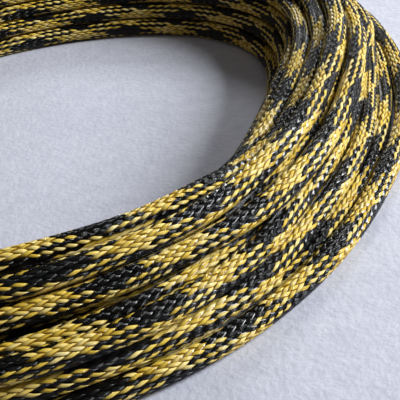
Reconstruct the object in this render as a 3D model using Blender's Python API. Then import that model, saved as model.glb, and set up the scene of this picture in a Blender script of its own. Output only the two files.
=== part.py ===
"""A 10 m length of braided cable sleeve, wound into a flat round coil.

The coil is one turned solid: a ring whose section is the outline of its piled turns.
It lies on its lowest layer, with the coil's axis upright. Units are metres and +Z is up.
The origin is on the coil's axis, level with the surface that it lies on.
"""

import math

import bmesh
import bpy

# Driving dimensions
SLEEVE_DIAMETER = 0.0042
TURN_GAP = 0.0001
BORE_DIAMETER = 0.1100
RESTING_FLAT_WIDTH = 0.0012
GROOVE_HALF_ANGLE = math.radians(30)

# Each layer of turns, from the floor up: how many pitches its first turn stands out from the bore, and its turns
LAYERS = ((0.0, 7), (0.5, 6), (1.0, 5), (1.5, 3), (2.0, 2))

# How finely the section's arcs and the ring itself are divided
ARC_STEP = math.radians(42)
RING_STEPS = 60

SLEEVE_YELLOW = (0.56, 0.36, 0.06, 1.0)
SLEEVE_ROUGHNESS = 0.42

# Derived dimensions
SLEEVE_RADIUS = SLEEVE_DIAMETER / 2
TURN_PITCH = SLEEVE_DIAMETER + TURN_GAP
LAYER_RISE = math.sqrt(SLEEVE_DIAMETER ** 2 - (TURN_PITCH / 2) ** 2)
FLAT_HALF_ANGLE = math.asin(RESTING_FLAT_WIDTH / 2 / SLEEVE_RADIUS)
FLOOR_LAYER_HEIGHT = SLEEVE_RADIUS * math.cos(FLAT_HALF_ANGLE)


def clear_scene():
    """Removes every object, so that the script starts from nothing."""
    for old in list(bpy.data.objects):
        bpy.data.objects.remove(old, do_unlink=True)


def layer_places(level):
    """How many pitches out from the bore each turn of a layer lies."""
    first, count = LAYERS[level]
    return [first + turn for turn in range(count)]


def centre(place, level):
    """A turn's centre in the section, as (distance from the axis, height)."""
    radius = BORE_DIAMETER / 2 + SLEEVE_RADIUS + place * TURN_PITCH
    return radius, FLOOR_LAYER_HEIGHT + level * LAYER_RISE


def open_turns(level, outer):
    """A layer's turns that the layer above leaves open on its outer or inner side, outermost first."""
    above = layer_places(level + 1)
    if outer:
        places = [place for place in layer_places(level) if place > above[-1]]
    else:
        places = [place for place in layer_places(level) if place < above[0]]
    return [centre(place, level) for place in reversed(places)]


def outline_turns():
    """The turns on the outside of the pile, anticlockwise from the innermost turn on the floor."""
    top = len(LAYERS) - 1
    turns = [centre(place, 0) for place in layer_places(0)]
    for level in range(1, top):
        turns += open_turns(level, True)
    turns += [centre(place, top) for place in reversed(layer_places(top))]
    for level in reversed(range(1, top)):
        turns += open_turns(level, False)
    return turns


def direction(start, end):
    """The angle of the line from one point of the section to another."""
    return math.atan2(end[1] - start[1], end[0] - start[0])


def arc(middle, first, last):
    """Points along a turn's surface between two angles, ends included."""
    steps = max(1, round((last - first) / ARC_STEP))
    angles = [first + (last - first) * step / steps for step in range(steps + 1)]
    return [(middle[0] + SLEEVE_RADIUS * math.cos(a), middle[1] + SLEEVE_RADIUS * math.sin(a)) for a in angles]


def turn_outline(middle, before, after, on_floor):
    """The part of a turn that shows outside the pile, from the groove before it to the groove after it."""
    first = direction(middle, before) % math.tau
    last = direction(middle, after) % math.tau
    if last <= first:
        last += math.tau
    first += GROOVE_HALF_ANGLE
    last -= GROOVE_HALF_ANGLE
    if not on_floor:
        return arc(middle, first, last)
    down = 1.5 * math.pi
    return arc(middle, first, down - FLAT_HALF_ANGLE) + arc(middle, down + FLAT_HALF_ANGLE, last)


def section_outline():
    """The ring's section as a closed outline: one ridge for each turn, with a groove between two turns."""
    turns = outline_turns()
    outline = []
    for index, middle in enumerate(turns):
        before = turns[index - 1]
        after = turns[(index + 1) % len(turns)]
        outline += turn_outline(middle, before, after, index < LAYERS[0][1])
    return outline


def sleeve_material():
    """The yellow of the braid's lighter yarns."""
    material = bpy.data.materials.new("braided_polyester")
    material.use_nodes = True
    shader = material.node_tree.nodes["Principled BSDF"]
    shader.inputs["Base Color"].default_value = SLEEVE_YELLOW
    shader.inputs["Roughness"].default_value = SLEEVE_ROUGHNESS
    shader.inputs["Metallic"].default_value = 0.0
    return material


def sleeve_coil():
    """The coil as one solid, its section turned about the coil's axis."""
    mesh = bpy.data.meshes.new("sleeve_coil")
    section = bmesh.new()
    corners = [section.verts.new((x, 0.0, z)) for x, z in reversed(section_outline())]
    for index, corner in enumerate(corners):
        section.edges.new((corners[index - 1], corner))
    section.to_mesh(mesh)
    section.free()
    mesh.materials.append(sleeve_material())

    coil = bpy.data.objects.new("sleeve_coil", mesh)
    bpy.context.scene.collection.objects.link(coil)
    turned = coil.modifiers.new("turned", "SCREW")
    turned.axis = "Z"
    turned.angle = math.tau
    turned.screw_offset = 0.0
    turned.steps = RING_STEPS
    turned.render_steps = RING_STEPS
    turned.use_smooth_shade = True
    turned.use_merge_vertices = True
    turned.merge_threshold = 0.00001
    return coil


clear_scene()
sleeve_coil()
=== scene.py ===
"""A coil of black and yellow braided cable sleeve on a pale felt floor.

The sleeve is one length of 10 m. Its turns are laid in layers, then pushed apart until none runs through
another. The skin is the braid itself: every place where a yarn passes over two others is a raised float.
Lengths are metres and angles radians, unless a comment says otherwise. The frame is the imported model's.
"""

import math

import bpy
import numpy as np
from mathutils import Matrix, Vector


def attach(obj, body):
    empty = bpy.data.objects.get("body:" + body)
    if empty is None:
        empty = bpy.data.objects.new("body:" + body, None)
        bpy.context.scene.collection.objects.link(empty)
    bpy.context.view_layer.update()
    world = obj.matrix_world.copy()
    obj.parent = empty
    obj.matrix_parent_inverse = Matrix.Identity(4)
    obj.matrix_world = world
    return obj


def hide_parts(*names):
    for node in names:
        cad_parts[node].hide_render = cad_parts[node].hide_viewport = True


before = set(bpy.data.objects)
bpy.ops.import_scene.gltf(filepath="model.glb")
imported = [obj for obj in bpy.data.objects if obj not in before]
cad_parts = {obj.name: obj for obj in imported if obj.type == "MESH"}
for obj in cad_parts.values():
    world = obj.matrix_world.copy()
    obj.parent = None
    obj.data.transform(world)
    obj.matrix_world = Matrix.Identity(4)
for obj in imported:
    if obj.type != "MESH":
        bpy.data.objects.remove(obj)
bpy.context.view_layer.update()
MM = 0.001

# The camera: where it stands, how far it looks down, how far it is tilted, and its lens in millimetres
CAMERA_PLACE = (29.9 * MM, -199.7 * MM, 98.8 * MM)
CAMERA_PITCH = math.radians(31.04)
CAMERA_ROLL = math.radians(-8.79)
FOCAL_LENGTH = 89.4
SENSOR_WIDTH = 36
NEAREST = 0.01

# The sleeve and its coil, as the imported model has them
SLEEVE = 4.2 * MM
RADIUS = SLEEVE / 2
PITCH = 4.3 * MM
BORE_RADIUS = 55 * MM
FLOOR_HEIGHT = 2.01 * MM
LAYER_RISE = math.sqrt(SLEEVE ** 2 - (PITCH / 2) ** 2)
# Each layer from the floor up: its first place out from the bore, and its turns
LAYERS = ((0.0, 7), (0.5, 6), (1.0, 5), (1.5, 3), (2.0, 2))

# How the sleeve steps from one turn to the next: at which angle, within what part of a turn each way, and
# how much earlier in each higher layer
SEAM_ANGLE = math.radians(180)
STEP_HALF_TURN = 0.07
STEP_LEAD = 0.03

# A hand's unevenness: its swings, the waves in a turn of the slowest and the quickest, and their size
SEED = 7
SWINGS = 24
SLOWEST = 0.8
QUICKEST = 4
SWAY_OUT = 0.35 * MM
SWAY_UP = 0.25 * MM

# How far the coil stands out from a true circle: waves round it, with each one's cosine and sine part in
# millimetres, and one fuller bend, with its angle and width in degrees and its size in millimetres
OVAL = ((2, -4.44, 0.67), (3, -0.05, 3.33))
BEND_ANGLE = -107
BEND_WIDTH = 16
BEND_SIZE = 4.0

# How the turns settle: the places worked out in each turn, the steps in all and those before the last slow
# ones, how close two turns may come, how many millimetres they sink, and the share of each gap that one step
# closes
STATIONS = 120
SETTLE_STEPS = 700
QUICK_STEPS = 500
CLOSEST = 0.985 * SLEEVE
SINK = 0.4
PUSH_SHARE = 0.3
SMOOTH_SHARE = 0.25
SEEN_SHARE = 0.12
QUICK_SHARE = 0.01
SLOW_SHARE = 0.002

# The centreline: the points in each turn before it is smoothed, the reach and width of the smoothing in such
# points, and the even step at the end
FINE_POINTS = 800
BELL_REACH = 12
BELL_WIDTH = 5.0
STEP = 0.5 * MM

# The braid: its yarns, those that run one way round, and how many of one colour lie side by side
CARRIERS = 48
HALF_CARRIERS = CARRIERS // 2
GROUP = 6
# After how many rows and what length of sleeve its pattern repeats, and the rows left off at each end
REPEAT_ROWS = 4 * GROUP
REPEAT_LENGTH = 27 * MM
END_ROWS = 4
# Which way a yellow diamond faces where the braid isn't turned
DIAMOND_ANGLE = 2 * math.pi * (GROUP - 1) / CARRIERS
# How far its yarns are spread apart on the sleeve's upper side and bunched under it, and where the most
SPREAD = 0.3
SPREAD_ANGLE = math.radians(75)
SPREAD_TRIES = 20
# The pattern is the same after half a turn, so the braid's turning is kept within the half turn from here
HALF_TURN_START = math.radians(-120)

# A float's outline on the braid's lattice, anticlockwise, as (along it, across it) in yarn widths
RIM = np.array([(-1, -0.5), (0, -0.5), (1, -0.5), (1, 0.5), (0, 0.5), (-1, 0.5)])
# Its raised crown, which stands proud of the sleeve's surface in the middle and falls towards its ends
CROWN_END = 0.86
CROWN_SHOULDER = 0.36
CROWN_SIDE = 0.43
CROWN_FALL = 0.30 * MM
CROWN_RISE = 0.10 * MM
CROWN_ALONG = (-CROWN_END, -CROWN_SHOULDER, CROWN_SHOULDER, CROWN_END)
CROWN_ACROSS = (-CROWN_SIDE, CROWN_SIDE)
CROWN = np.array([(a, b) for a in CROWN_ALONG for b in CROWN_ACROSS])
# How far below the sleeve's surface lie the crown, the outline round it, and a flat float that nobody sees
CROWN_DROP = np.array([CROWN_FALL * (a / CROWN_END) ** 2 - CROWN_RISE for a, b in CROWN])
RIM_DROP = 0.40 * MM
FLAT_DROP = 0.14 * MM

# A float is flat where a neighbour's centre lies this close to where one would touch it, or the floor does
TOUCHING = 0.55 * SLEEVE
TOUCHING_FLOOR = -0.3 * SLEEVE
LOWEST_SKIN = 0.02 * MM

# A yarn's colour: where a painted shade darkens it and how fast, towards its sides and ends between its
# neighbours, and how much it varies
PAINTED_SHADE_SIDE = 0.40
PAINTED_SHADE_SIDE_RATE = 9.0
PAINTED_SHADE_END = 0.38
PAINTED_SHADE_END_RATE = 7.0
VARIED_BY_FLOAT = 0.35
VARIED_BY_NOISE = 0.5
# Its fine ridges: how far apart in yarn widths, how high, and how round
RIDGE_SPACING = 0.185
RIDGE_HEIGHT = 0.08 * MM
RIDGE_ROUND = 0.5
RIDGE_STRENGTH = 0.8
ROUGHNESS_VARIED = 0.10

STRETCHES = 8
FLOOR_HALF = 1.5
DAYLIGHT = (0.95, 0.98, 1.0)

# Where the turns that show in the photograph lie there: for each, its number in the sleeve's order, and its
# angle in degrees, distance out from the bore and height in millimetres at a few places
SEEN = {
    21: ((-100, 10.8, 18.1), (-90, 10.7, 18.1), (-86, 10.2, 17.9), (-78, 10.6, 17.8), (-73, 10.6, 17.3),
         (-64, 10.5, 17.4), (-59, 10.6, 16.1), (-55, 10.5, 14.9), (-49, 10.6, 14.3), (-37, 10.7, 13.8),
         (10, 10.6, 13.9)),
    22: ((-100, 16.0, 16.5), (-91, 15.9, 16.5), (-85, 15.2, 16.5), (-75, 14.6, 16.5), (-66, 15.0, 16.5),
         (-52, 14.4, 16.5), (-32, 14.6, 16.5), (-8, 14.1, 16.5), (10, 14.2, 16.4)),
    18: ((-100, 17.9, 12.9), (-91, 17.7, 12.9), (-80, 17.0, 12.9), (-72, 16.7, 12.9), (-62, 17.7, 12.9),
         (-56, 18.6, 13.0), (-28, 18.3, 12.9), (-8, 17.6, 12.9), (8, 18.4, 12.8)),
    16: ((-100, 22.3, 9.4), (-90, 22.0, 9.4), (-80, 20.8, 9.4), (-75, 20.0, 9.4), (-68, 19.0, 9.4),
         (-63, 18.2, 9.4), (-58, 16.6, 9.2), (-53, 15.1, 9.0), (-47, 14.3, 8.9), (0, 14.2, 8.9)),
    17: ((-100, 26.0, 9.5), (-87, 25.2, 9.5), (-82, 24.6, 9.5), (-77, 24.0, 9.4), (-68, 23.0, 9.3),
         (-63, 22.1, 9.4), (-58, 20.8, 9.3), (-53, 19.3, 9.0), (-47, 18.6, 8.9), (-30, 18.3, 8.8),
         (0, 18.4, 9.0)),
    7: ((-100, 26.3, 5.7), (-90, 26.2, 5.7), (-85, 25.8, 5.7), (-77, 24.7, 5.7), (-70, 24.1, 5.7),
        (-62, 23.6, 5.8), (-55, 21.6, 6.5), (-48, 21.0, 6.5), (-40, 21.5, 6.1), (-28, 21.9, 6.0),
        (-18, 20.8, 6.1), (-9, 19.6, 6.2), (3, 20.2, 6.1), (12, 22.3, 5.8), (20, 23.5, 5.8)),
    8: ((-56, 17.2, 5.8), (-40, 17.1, 5.7), (-28, 17.6, 5.6), (-18, 16.6, 5.6), (-9, 15.5, 5.6),
        (3, 16.1, 5.6), (12, 18.0, 5.6), (20, 19.2, 5.6)),
    5: ((-53, 22.4, 2.1), (-31, 22.6, 2.1), (-19, 23.4, 2.1), (-4, 23.2, 2.1), (4, 23.4, 2.1),
        (12, 24.4, 2.6)),
    6: ((-100, 28.0, 2.1), (-90, 28.0, 2.1), (-75, 27.3, 2.1), (-58, 26.5, 2.1), (-40, 26.8, 2.1),
        (-28, 27.4, 2.1), (-18, 28.1, 2.1), (-8, 27.8, 2.1), (2, 27.1, 2.1), (12, 27.2, 2.1),
        (18, 28.3, 2.1), (26, 31.0, 2.1), (33, 32.0, 2.1), (42, 31.0, 2.1), (54, 29.0, 2.1)),
}
# Over how many degrees such a turn eases into its first place and out of its last one
EASE = 12

# Where a yellow diamond of the braid has its middle on those turns: the turn's number, then the angle round
# the coil and the way that the diamond faces round the sleeve, from outwards through up, in degrees
DIAMONDS = {
    21: ((-88, 90), (-70.5, 94), (-52, 100)),
    22: ((-75.3, 61), (-55, 80), (-27.5, 118), (0.7, 104)),
    18: ((-87, 65), (-71, 66), (-52, 78), (-24, 124), (5.7, 106)),
    17: ((-83.7, 66), (-68, 71), (-49, 90), (-25, 130)),
    7: ((-71.9, 75), (-53.5, 84), (-28.5, 95), (6, 104)),
    6: ((-75.3, 76), (-59.7, 83), (-41, 95), (-20, 110), (6, 120)),
    5: ((-41, 80), (-15, 80), (3.2, 105)),
}


def camera():
    """The photograph's camera: close to the coil, looking down across it."""
    forward = Vector((0, math.cos(CAMERA_PITCH), -math.sin(CAMERA_PITCH)))
    level_up = Vector((0, math.sin(CAMERA_PITCH), math.cos(CAMERA_PITCH)))
    level_right = Vector((1, 0, 0))
    right = math.cos(CAMERA_ROLL) * level_right + math.sin(CAMERA_ROLL) * level_up
    up = -math.sin(CAMERA_ROLL) * level_right + math.cos(CAMERA_ROLL) * level_up
    lens = bpy.data.cameras.new("camera")
    lens.sensor_width = SENSOR_WIDTH
    lens.lens = FOCAL_LENGTH
    lens.clip_start = NEAREST
    eye = bpy.data.objects.new("camera", lens)
    bpy.context.scene.collection.objects.link(eye)
    turned = Matrix((right, up, -forward)).transposed().to_4x4()
    eye.matrix_world = Matrix.Translation(CAMERA_PLACE) @ turned
    bpy.context.scene.camera = eye


def smooth_step(x):
    """0 before 0, 1 after 1, and a smooth rise between them."""
    x = np.clip(x, 0, 1)
    return x * x * (3 - 2 * x)


def places():
    """The places of all the turns in the order in which the sleeve runs through them, as (place, layer)."""
    order = []
    for layer, (first, count) in enumerate(LAYERS):
        row = [(first + k, layer) for k in range(count)]
        order += row if layer % 2 == 0 else row[::-1]
    return order


def oval(angle):
    """How far the coil stands out from a true circle at an angle, with a fuller bend at the front left."""
    out = 0
    for waves, cosine, sine in OVAL:
        out = out + cosine * np.cos(waves * angle) + sine * np.sin(waves * angle)
    from_bend = (np.degrees(angle) - BEND_ANGLE + 180) % 360 - 180
    return (out + BEND_SIZE * np.exp(-(from_bend / BEND_WIDTH) ** 2)) * MM


def turns_along(turn, angle):
    """How many turns along the sleeve a place is, from its turn's number and its angle in degrees."""
    return turn + (angle - math.degrees(SEAM_ANGLE)) % 360 / 360


def wander(rng, count, amplitude):
    """A slow, smooth, random swing along the sleeve."""
    at = np.arange(count) / STATIONS
    swing = np.zeros(count)
    for _ in range(SWINGS):
        waves = rng.uniform(SLOWEST, QUICKEST)
        swing += rng.normal() * np.sin(2 * math.pi * (at * waves + rng.random()))
    return swing * amplitude / math.sqrt(SWINGS / 2)


def laid():
    """Where each turn would lie in an even coil, with a hand's unevenness, as radius and height."""
    order = places()
    turns = len(order)
    at = np.arange(turns * STATIONS) / STATIONS
    place = np.full(len(at), float(order[0][0]))
    layer = np.full(len(at), float(order[0][1]))
    for turn in range(1, turns):
        (place_before, layer_before), (place_after, layer_after) = order[turn - 1], order[turn]
        begin = turn - STEP_HALF_TURN - STEP_LEAD * layer_after
        share = smooth_step((at - begin) / (2 * STEP_HALF_TURN))
        place += (place_after - place_before) * share
        layer += (layer_after - layer_before) * share
    rng = np.random.default_rng(SEED)
    out = BORE_RADIUS + RADIUS + PITCH * place + wander(rng, len(at), SWAY_OUT)
    high = FLOOR_HEIGHT + LAYER_RISE * layer + wander(rng, len(at), SWAY_UP)
    return at, out, high


def pinned(at, out, high):
    """The same with the turns that show moved to where they are seen, and how firmly each place is held."""
    firm = np.zeros(len(at))
    for turn, line in SEEN.items():
        angle, distance, height = np.array(line).T
        here = turns_along(turn, angle)
        near = (at > here[0] - EASE / 360) & (at < here[-1] + EASE / 360)
        rise = smooth_step((at - here[0]) * 360 / EASE + 1)
        fall = smooth_step((here[-1] - at) * 360 / EASE + 1)
        share = rise * fall
        seen_out = BORE_RADIUS + np.interp(at, here, distance) * MM
        seen_high = np.interp(at, here, height) * MM
        out = np.where(near, out + share * (seen_out - out), out)
        high = np.where(near, high + share * (seen_high - high), high)
        firm = np.where(near, share, firm)
    return out, high, firm


def relaxed(out, high, firm):
    """The turns pushed apart until none runs through another, kept smooth, off the floor and settled."""
    turns = len(out) // STATIONS
    aim_out, aim_high = out.copy(), high - (1 - firm) * SINK * MM
    same = np.eye(turns, dtype=bool)[:, :, None]
    for step in range(SETTLE_STEPS):
        r, z = out.reshape(turns, STATIONS), high.reshape(turns, STATIONS)
        dr, dz = r[:, None] - r[None], z[:, None] - z[None]
        apart = np.sqrt(dr ** 2 + dz ** 2) + 1e-9
        push = np.where(same, 0, np.maximum(0, CLOSEST - apart)) * PUSH_SHARE / apart
        out = out + (push * dr).sum(1).ravel()
        high = high + (push * dz).sum(1).ravel()
        for line in (out, high):
            mean = (line[:-2] + line[2:]) / 2
            line[1:-1] += SMOOTH_SHARE * (mean - line[1:-1])
        settle = np.where(firm > 0.5, SEEN_SHARE, QUICK_SHARE if step < QUICK_STEPS else SLOW_SHARE)
        out += settle * (aim_out - out)
        high += settle * (aim_high - high)
        high = np.maximum(high, FLOOR_HEIGHT)
    return out, high


def route(out, high):
    """The sleeve's centreline in space, at short even steps, and how many turns along it each point is."""
    at = np.arange(len(out)) / STATIONS
    fine = np.arange(0, at[-1], 1 / FINE_POINTS)
    bell = np.exp(-0.5 * (np.arange(-BELL_REACH, BELL_REACH + 1) / BELL_WIDTH) ** 2)
    bell /= bell.sum()
    r = np.convolve(np.pad(np.interp(fine, at, out), BELL_REACH, mode="edge"), bell, "valid")
    z = np.convolve(np.pad(np.interp(fine, at, high), BELL_REACH, mode="edge"), bell, "valid")
    angle = SEAM_ANGLE + 2 * math.pi * fine
    r = r + oval(angle)
    points = np.stack([r * np.cos(angle), r * np.sin(angle), z], axis=1)
    along = np.concatenate([[0], np.cumsum(np.linalg.norm(np.diff(points, axis=0), axis=1))])
    even = np.arange(0, along[-1], STEP)
    points = np.stack([np.interp(even, along, points[:, k]) for k in range(3)], axis=1)
    return points, np.interp(even, along, fine)


def frames(points):
    """The directions outwards and upwards across the sleeve at each point of its centreline."""
    tangent = np.gradient(points, axis=0)
    tangent /= np.linalg.norm(tangent, axis=1)[:, None]
    outward = points * (1, 1, 0)
    outward -= (outward * tangent).sum(1)[:, None] * tangent
    outward /= np.linalg.norm(outward, axis=1)[:, None]
    return outward, np.cross(outward, tangent)


def spread(angle):
    """Where a yarn lies round the sleeve, from where it would lie if they were all as far apart."""
    return angle + SPREAD * np.sin(angle - SPREAD_ANGLE)


def evened(angle):
    """The opposite of spread, within the one half turn."""
    even = angle
    for _ in range(SPREAD_TRIES):
        even = angle - SPREAD * math.sin(even - SPREAD_ANGLE)
    return (even - HALF_TURN_START) % math.pi + HALF_TURN_START


class Sleeve:
    """The laid sleeve: where any point of its skin is."""

    def __init__(self):
        self.out, self.high = relaxed(*pinned(*laid()))
        self.points, self.turn = route(self.out, self.high)
        self.outward, self.upward = frames(self.points)
        self.row_line, self.twist = self.braiding()
        self.first_row = math.ceil(self.row_line[0]) + END_ROWS
        self.last_row = math.floor(self.row_line[-1]) - END_ROWS

    def braiding(self):
        """The braid's row at each point of the centreline, and how far the braid is turned round there."""
        marks = sorted((turns_along(turn, angle), math.radians(facing))
                       for turn, line in DIAMONDS.items() for angle, facing in line)
        every = np.arange(len(self.turn))
        here = np.interp([turn for turn, _ in marks], self.turn, every)
        lays = here * STEP / REPEAT_LENGTH
        whole = np.cumsum([round(lays[0]), *np.maximum(1, np.round(np.diff(lays)))])
        before = whole[0] - lays[0]
        after = whole[-1] + every[-1] * STEP / REPEAT_LENGTH - lays[-1]
        rows = np.interp(every, [0, *here, every[-1]], [before, *whole, after]) * REPEAT_ROWS
        twist = np.interp(every, here, [evened(facing) - DIAMOND_ANGLE for _, facing in marks])
        return rows, twist

    def at(self, values, row):
        """Values along the sleeve, read at a lattice row."""
        index = np.interp(row, self.row_line, np.arange(len(values)))
        low = np.minimum(index.astype(int), len(values) - 2)
        share = index - low
        if values.ndim > 1:
            share = share[..., None]
        return values[low] * (1 - share) + values[low + 1] * share

    def angle(self, column, row):
        """Where a lattice column lies round the sleeve, from outwards through up."""
        return spread(2 * math.pi * column / CARRIERS + self.at(self.twist, row))

    def skin(self, column, row, drop):
        """A point on the skin, from its place on the lattice and its depth below the surface."""
        angle = self.angle(column, row)
        across = (np.cos(angle)[..., None] * self.at(self.outward, row)
                  + np.sin(angle)[..., None] * self.at(self.upward, row))
        point = self.at(self.points, row) + (RADIUS - drop)[..., None] * across
        point[..., 2] = np.maximum(point[..., 2], LOWEST_SKIN)
        return point

    def open(self, column, row):
        """Whether a float can be seen: no neighbouring turn and no floor lies against it."""
        angle = self.angle(column, row)
        turn = self.at(self.turn, row)
        station = np.round((turn % 1) * STATIONS).astype(int) % STATIONS
        own = turn.astype(int)
        r = self.out.reshape(-1, STATIONS)[:, station]
        z = self.high.reshape(-1, STATIONS)[:, station]
        me = np.arange(len(own))
        beside_r = r[own, me] + SLEEVE * np.cos(angle)
        beside_z = z[own, me] + SLEEVE * np.sin(angle)
        apart = np.hypot(r - beside_r, z - beside_z)
        apart[own, me] = SLEEVE
        return (apart.min(0) > TOUCHING) & (beside_z > TOUCHING_FLOOR)


def crown_point(i, j):
    """The number of a crown's point in a float's mesh, from its places along and across."""
    return len(RIM) + i * len(CROWN_ACROSS) + j


def float_triangles():
    """A raised float's triangles, and the yarn that each shows: -1 its own, 0 or 1 one that it crosses."""
    c = crown_point
    top = []
    for i in range(len(CROWN_ALONG) - 1):
        top += [(c(i, 0), c(i + 1, 0), c(i + 1, 1)), (c(i, 0), c(i + 1, 1), c(i, 1))]
    near = [(0, c(1, 0), c(0, 0)), (0, 1, c(1, 0)), (1, c(2, 0), c(1, 0)),
            (1, 2, c(2, 0)), (2, c(3, 0), c(2, 0))]
    far = [(3, c(2, 1), c(3, 1)), (3, 4, c(2, 1)), (4, c(1, 1), c(2, 1)),
           (4, 5, c(1, 1)), (5, c(0, 1), c(1, 1))]
    ends = [(2, c(3, 1), c(3, 0)), (2, 3, c(3, 1)), (5, c(0, 0), c(0, 1)), (5, 0, c(0, 0))]
    shows = [-1] * len(top) + [0, 0, 1, 1, 1] + [1, 1, 0, 0, 0] + [-1] * len(ends)
    return np.array(top + near + far + ends), np.array(shows)


RAISED, SHOWS = float_triangles()
# A flat float's triangles
PLAIN = np.array([(0, 1, 4), (0, 4, 5), (1, 2, 3), (1, 3, 4)])


def lattice(rows):
    """Every float of a stretch: its centre on the lattice, how it leans, its yarn, and the two it crosses.

    In every second row each fourth column has a float that leans right, and the ones halfway lean left.
    """
    row, col = np.meshgrid(np.arange(rows[0], rows[1], 2), np.arange(0, CARRIERS, 4), indexing="ij")
    row, col = row.ravel(), col.ravel()
    right = np.stack([col + 0.5, row + 0.5], axis=1)
    left = np.stack([col + 2.5, row - 0.5], axis=1)
    right_own, right_under = (col - row) // 2, (col + row) // 2
    left_own, left_under = (col + 2 + row) // 2, (col + 2 - row) // 2
    centre = np.concatenate([right, left])
    lean = np.concatenate([np.ones(len(row)), -np.ones(len(row))])
    own = np.concatenate([right_own, left_own]) % HALF_CARRIERS
    under = np.concatenate([right_under, left_under])
    under = np.stack([under, under + 1], axis=1) % HALF_CARRIERS
    return centre, lean, own, under


def on_lattice(centre, lean, local):
    """Points of each float, given along and across it, as (column, row) on the lattice."""
    a, b = local[None, :, 0], local[None, :, 1]
    lean = lean[:, None]
    return centre[:, None, 0] + a + lean * b, centre[:, None, 1] + lean * a - b


def crossings(centre, lean):
    """The column and row of every crossing of a stretch, and their numbers in each float's outline."""
    col, row = on_lattice(centre, lean, RIM)
    col, row = np.round(col).astype(int), np.round(row).astype(int)
    first = row.min()
    count = row.max() - first + 1
    outline = (row - first) * HALF_CARRIERS + (col % CARRIERS) // 2
    rows = np.repeat(np.arange(first, first + count), HALF_CARRIERS)
    columns = np.tile(np.arange(0, CARRIERS, 2), count) + (rows + 1) % 2
    return columns, rows, outline


def is_black(yarn):
    """Whether a yarn is black: they come in groups of one colour, yellow first."""
    return yarn % (2 * GROUP) >= GROUP


def floats(sleeve, rows):
    """A stretch's floats, as the parts of a mesh.

    They are its points, its triangles, which of those are black by their yarn or as painted shade, each
    corner's place on its yarn and random number, and the rows of the points that are crossings.
    """
    centre, lean, own, under = lattice(rows)
    columns, rings, outline = crossings(centre, lean)
    raised = sleeve.open(centre[:, 0], centre[:, 1])
    touched = np.zeros(len(rings), bool)
    touched[outline[raised].ravel()] = True
    low = sleeve.skin(columns, rings.astype(float), np.where(touched, RIM_DROP, FLAT_DROP))
    crown_column, crown_row = on_lattice(centre[raised], lean[raised], CROWN)
    high = sleeve.skin(crown_column, crown_row, np.broadcast_to(CROWN_DROP, crown_column.shape))
    points = np.concatenate([low, high.reshape(-1, 3)])

    crown = len(rings) + np.arange(raised.sum() * len(CROWN)).reshape(-1, len(CROWN))
    corners = np.concatenate([outline[raised], crown], axis=1)
    faces = np.concatenate([corners[:, RAISED].reshape(-1, 3), outline[~raised][:, PLAIN].reshape(-1, 3)])

    own_black, under_black = is_black(own), is_black(under[raised])
    skirt_black = under_black[:, np.maximum(SHOWS, 0)] & (SHOWS >= 0)
    # A skirt shows the yarn crossed under the float, but a black float's skirts are black even over a yellow
    # yarn: painted shade in the notch beside it.
    raised_black_or_shaded = own_black[raised][:, None] | skirt_black
    black = np.concatenate([raised_black_or_shaded.ravel(), np.repeat(own_black[~raised], len(PLAIN))])

    local = np.concatenate([RIM, CROWN])
    spot = np.concatenate([np.tile(local[RAISED].reshape(-1, 2), (raised.sum(), 1)),
                           np.tile(RIM[PLAIN].reshape(-1, 2), ((~raised).sum(), 1))])
    chance = np.random.default_rng([SEED, abs(int(rows[0]))]).random(len(own))
    luck = np.concatenate([np.repeat(chance[raised], RAISED.size), np.repeat(chance[~raised], PLAIN.size)])
    return points, faces, black, spot, luck, rings


def caps(points, faces, rings):
    """A flat cap for each open end of a stretch: their middle points, and their triangles."""
    edges = np.concatenate([faces[:, [0, 1]], faces[:, [1, 2]], faces[:, [2, 0]]])
    _, where, uses = np.unique(np.sort(edges, axis=1), axis=0, return_inverse=True, return_counts=True)
    rim = edges[uses[where.ravel()] == 1]
    at_start = rings[rim[:, 0]] < rings.mean()
    middles, triangles = [], []
    for number, end in enumerate((rim[at_start], rim[~at_start])):
        middles.append(points[end[:, 0]].mean(0))
        tip = np.full((len(end), 1), len(points) + number)
        triangles.append(np.concatenate([end[:, ::-1], tip], axis=1))
    return np.array(middles), np.concatenate(triangles)


def braid(sleeve, name, rows):
    """One stretch of the sleeve as an object: its floats, and a flat black cap at each end, painted shade
    for the hollow inside.
    """
    points, faces, black, spot, luck, rings = floats(sleeve, rows)
    middles, ends = caps(points, faces, rings)
    points = np.concatenate([points, middles])
    faces = np.concatenate([faces, ends])
    # The caps are black: painted shade where the sleeve's hollow inside would show.
    black = np.concatenate([black, np.ones(len(ends), bool)])
    spot = np.concatenate([spot, np.zeros((ends.size, 2))])
    luck = np.concatenate([luck, np.full(ends.size, 0.5)])

    used, faces = np.unique(faces, return_inverse=True)
    mesh = bpy.data.meshes.new(name)
    mesh.vertices.add(len(used))
    mesh.vertices.foreach_set("co", points[used].ravel())
    mesh.loops.add(faces.size)
    mesh.loops.foreach_set("vertex_index", faces.ravel())
    mesh.polygons.add(faces.size // 3)
    mesh.polygons.foreach_set("loop_start", np.arange(0, faces.size, 3))
    mesh.polygons.foreach_set("material_index", black.astype(np.int32))
    mesh.update(calc_edges=True)
    mesh.shade_smooth()
    places_on_yarn = mesh.uv_layers.new(name="float")
    places_on_yarn.data.foreach_set("uv", (spot * (0.5, 1) + 0.5).astype(np.float32).ravel())
    chances = mesh.uv_layers.new(name="chance")
    chances.data.foreach_set("uv", np.stack([luck, luck], axis=1).astype(np.float32).ravel())
    for material in (YELLOW, BLACK):
        mesh.materials.append(material)
    piece = bpy.data.objects.new(name, mesh)
    bpy.context.scene.collection.objects.link(piece)
    return piece


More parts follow.
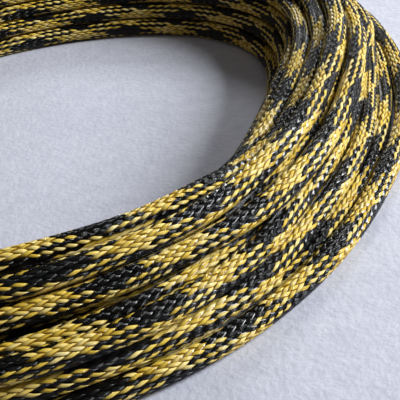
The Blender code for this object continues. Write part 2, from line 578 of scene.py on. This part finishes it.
class Nodes:
    """Adds shader nodes to a material, one line each."""

    def __init__(self, material):
        material.use_nodes = True
        self.tree = material.node_tree
        self.shader = self.tree.nodes["Principled BSDF"]

    def add(self, kind, **settings):
        """A node of a kind, with its settings."""
        node = self.tree.nodes.new(kind)
        for name, value in settings.items():
            setattr(node, name, value)
        return node

    def put(self, socket, value):
        """Links an output to a socket, or sets a number or colour on it."""
        if isinstance(value, bpy.types.NodeSocket):
            self.tree.links.new(value, socket)
        else:
            socket.default_value = value

    def math(self, operation, *values):
        """The result of a sum on outputs or numbers."""
        node = self.add("ShaderNodeMath", operation=operation)
        for socket, value in zip(node.inputs, values):
            self.put(socket, value)
        return node.outputs[0]

    def scaled(self, value, middle, rate):
        """How far a value is above a middle, times a rate."""
        return self.math("MULTIPLY", self.math("SUBTRACT", value, middle), rate)

    def uv(self, name):
        """The two coordinates of a UV map."""
        node = self.add("ShaderNodeSeparateXYZ")
        self.tree.links.new(self.add("ShaderNodeUVMap", uv_map=name).outputs[0], node.inputs[0])
        return node.outputs[0], node.outputs[1]

    def ramp(self, factor, *stops):
        """A colour ramp through its stops, each a place and a colour."""
        node = self.add("ShaderNodeValToRGB")
        self.put(node.inputs[0], factor)
        elements = node.color_ramp.elements
        for element, (place, colour) in zip(elements, stops):
            element.position, element.color = place, (*colour, 1)
        for place, colour in stops[2:]:
            elements.new(place).color = (*colour, 1)
        return node.outputs[0]

    def noise(self, scale, detail=2.0):
        """Noise fixed to the object."""
        node = self.add("ShaderNodeTexNoise")
        self.tree.links.new(self.add("ShaderNodeTexCoord").outputs["Object"], node.inputs["Vector"])
        node.inputs["Scale"].default_value = scale
        node.inputs["Detail"].default_value = detail
        return node.outputs["Fac"]

    def bump(self, height, strength, distance):
        """Bump on the shader from a height."""
        node = self.add("ShaderNodeBump")
        node.inputs["Strength"].default_value = strength
        node.inputs["Distance"].default_value = distance
        self.put(node.inputs["Height"], height)
        self.put(self.shader.inputs["Normal"], node.outputs[0])


def yarn_material(name, dark_and_shaded, body, pale_and_highlit, roughness, shine):
    """Glossy yarn with fine ridges along it, its tone varied at random, with painted shade where it dips
    between its neighbours and a painted highlight on the middles of its crowns.
    """
    material = bpy.data.materials.new(name)
    n = Nodes(material)
    along, across = n.uv("float")
    chance, _ = n.uv("chance")
    side = n.math("ABSOLUTE", n.math("SUBTRACT", across, 0.5))
    end = n.math("ABSOLUTE", n.math("SUBTRACT", along, 0.5))
    # Painted shade: darker towards a float's sides and ends, where the yarn dips between its neighbours.
    shade_at_side = n.scaled(side, PAINTED_SHADE_SIDE, PAINTED_SHADE_SIDE_RATE)
    shade_at_end = n.scaled(end, PAINTED_SHADE_END, PAINTED_SHADE_END_RATE)
    painted_shade = n.math("MAXIMUM", n.math("MAXIMUM", shade_at_side, shade_at_end), 0.0)
    by_float = n.math("MULTIPLY", chance, VARIED_BY_FLOAT)
    by_noise = n.math("MULTIPLY", n.noise(scale=220.0), VARIED_BY_NOISE)
    tone = n.math("SUBTRACT", n.math("ADD", by_float, by_noise), painted_shade)
    # The ramp runs from its darkest colour, for low random tones and painted shade, through the yarn's own
    # colour to its palest, for high random tones and a painted highlight on the undarkened middle of a
    # crown.
    n.put(n.shader.inputs["Base Color"], n.ramp(tone, (0.0, dark_and_shaded), (0.35, body), (0.8, pale_and_highlit)))
    wave = n.math("SINE", n.scaled(across, 0.5, math.pi / RIDGE_SPACING))
    ridges = n.math("POWER", n.math("ABSOLUTE", wave), RIDGE_ROUND)
    n.bump(ridges, RIDGE_STRENGTH, RIDGE_HEIGHT)
    rougher = n.math("MULTIPLY", chance, ROUGHNESS_VARIED)
    n.put(n.shader.inputs["Roughness"], n.math("ADD", rougher, roughness))
    n.shader.inputs["Specular IOR Level"].default_value = shine
    return material


def felt_material():
    """Pale felt: faintly mottled, with short fibres in every direction."""
    material = bpy.data.materials.new("pale_felt")
    n = Nodes(material)
    fine_mottle = n.math("MULTIPLY", n.noise(scale=300.0, detail=6.0), 0.7)
    broad_mottle = n.math("MULTIPLY", n.noise(scale=45.0), 0.3)
    mottle = n.math("ADD", fine_mottle, broad_mottle)
    colour = n.ramp(mottle, (0.3, (0.50, 0.51, 0.60)), (0.7, (0.60, 0.61, 0.70)))
    n.put(n.shader.inputs["Base Color"], colour)
    n.bump(n.noise(scale=900.0, detail=5.0), strength=0.5, distance=0.3 * MM)
    n.shader.inputs["Roughness"].default_value = 0.95
    return material


# Each yarn: its darkest colour, which also serves as painted shade; its own colour; and its palest, which
# also serves as a painted highlight.
YELLOW = yarn_material("yellow_polyester", dark_and_shaded=(0.22, 0.11, 0.006), body=(0.80, 0.55, 0.065),
                       pale_and_highlit=(0.95, 0.82, 0.40), roughness=0.13, shine=0.5)
BLACK = yarn_material("black_polyester", dark_and_shaded=(0.001, 0.001, 0.001), body=(0.003, 0.003, 0.003),
                      pale_and_highlit=(0.006, 0.007, 0.008), roughness=0.12, shine=0.35)


def floor():
    """A plain floor under the coil."""
    corners = [(-FLOOR_HALF, -FLOOR_HALF, 0), (FLOOR_HALF, -FLOOR_HALF, 0),
               (FLOOR_HALF, FLOOR_HALF, 0), (-FLOOR_HALF, FLOOR_HALF, 0)]
    mesh = bpy.data.meshes.new("floor")
    mesh.from_pydata(corners, [], [(0, 1, 2, 3)])
    mesh.materials.append(felt_material())
    sheet = bpy.data.objects.new("floor", mesh)
    bpy.context.scene.collection.objects.link(sheet)


def soft_light(name, place, size, power):
    """A square soft light at a place, turned towards the coil's middle."""
    light = bpy.data.lights.new(name, "AREA")
    light.shape = "SQUARE"
    light.size = size
    light.energy = power
    light.color = DAYLIGHT
    lamp = bpy.data.objects.new(name, light)
    lamp.location = place
    lamp.rotation_euler = (-Vector(place)).to_track_quat("-Z", "Y").to_euler()
    bpy.context.scene.collection.objects.link(lamp)


def studio():
    """Soft daylight from the right, and a pale room around it."""
    soft_light("window", place=(0.70, -0.02, 0.38), size=0.32, power=11.0)
    soft_light("far_window", place=(0.30, 0.70, 0.42), size=0.16, power=2.8)
    world = bpy.data.worlds.new("room")
    world.use_nodes = True
    world.node_tree.nodes["Background"].inputs["Color"].default_value = (1.0, 0.94, 0.86, 1)
    world.node_tree.nodes["Background"].inputs["Strength"].default_value = 0.10
    bpy.context.scene.world = world
    bpy.context.scene.view_settings.view_transform = "Standard"


def coil():
    """The whole sleeve, as stretches that follow one another end to end."""
    sleeve = Sleeve()
    cuts = np.linspace(sleeve.first_row, sleeve.last_row, STRETCHES + 1).astype(int) // 2 * 2
    for k in range(STRETCHES):
        rows = (cuts[k], cuts[k + 1])
        piece = braid(sleeve, f"sleeve_stretch_{k + 1}", rows)
        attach(piece, "root")
        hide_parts("sleeve_coil")


camera()
coil()
floor()
studio()
